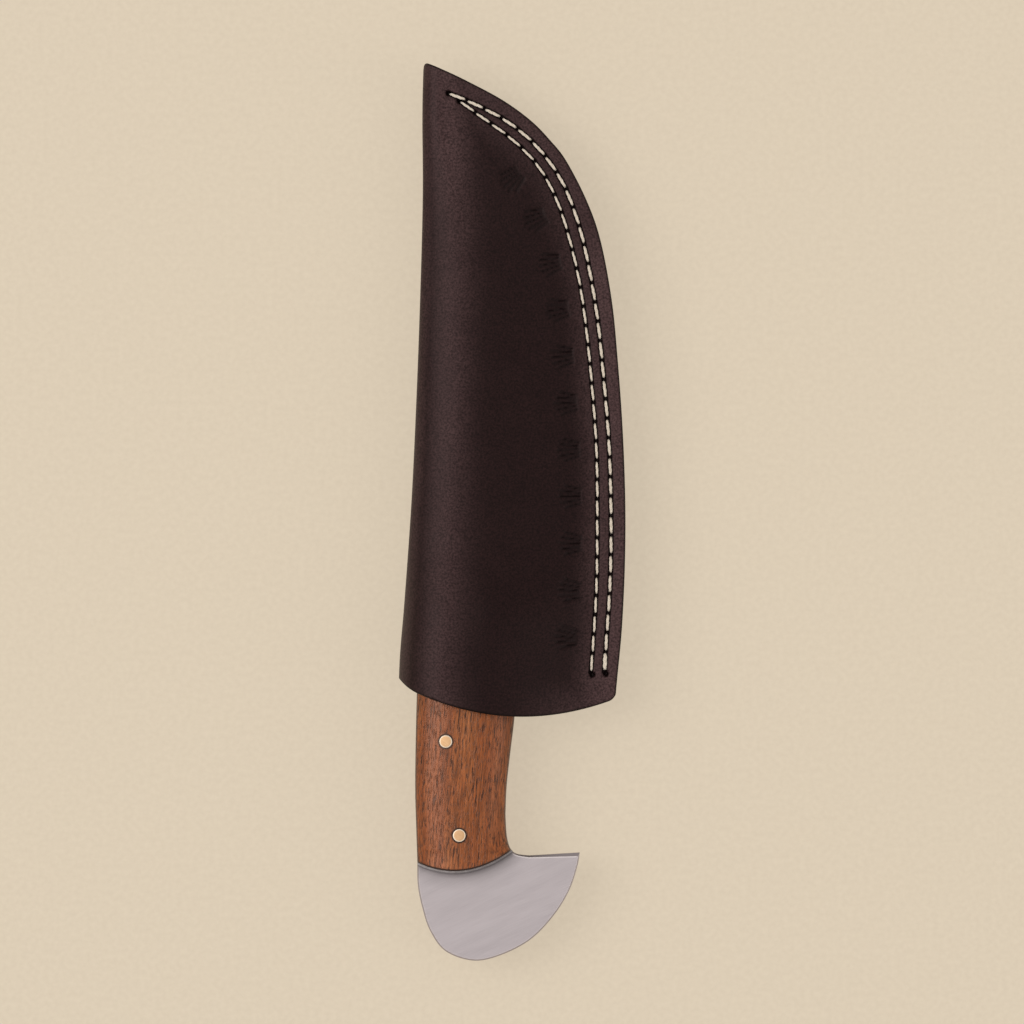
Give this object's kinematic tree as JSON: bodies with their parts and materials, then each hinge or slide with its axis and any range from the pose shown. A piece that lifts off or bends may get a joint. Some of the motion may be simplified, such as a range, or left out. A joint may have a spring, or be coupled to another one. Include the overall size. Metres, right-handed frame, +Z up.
{
  "type": "whittling knife",
  "caption": "Fixed-blade whittling knife with a pinned wooden handle and a hooked flat steel butt, carried in a folded and stitched leather pouch sheath with a belt loop.",
  "frame": {"origin": "centre of the footprint, on the surface that the sheathed knife lies on", "axes": "+Y from the knife's butt to the sheath's tip, +X from the sheath's fold to its seam, +Z up, out of the sheath's front"},
  "size_m": [0.0606, 0.24, 0.0253],
  "materials": {
    "sheath_leather": "dark brown, smooth grain, half-matt, burnished edges",
    "welt_leather": "dark brown cut edge",
    "thread": "waxed cream twisted thread",
    "steel": "finely brushed",
    "liner": "grey fibre",
    "handle_wood": "mid-brown, open dark pores, oiled",
    "pin_brass": "polished"
  },
  "bodies": {
    "sheath": {"sheath_body": "sheath_leather", "welt": "welt_leather", "thread_outer_row": "thread", "thread_inner_row": "thread", "belt_loop": "sheath_leather", "loop_thread_mouth_end": "thread", "loop_thread_tip_end": "thread"},
    "knife": {"blade": "steel", "liner_front": "liner", "liner_back": "liner", "scale_front": "handle_wood", "scale_back": "handle_wood", "pin_front": "pin_brass", "pin_middle": "pin_brass", "pin_rear": "pin_brass"}
  },
  "joints": [
    {"name": "knife_draw", "type": "slide", "parent": "sheath", "child": "knife", "axis": [0, -1, 0], "range_m": [0, 0.165]}
  ]
}
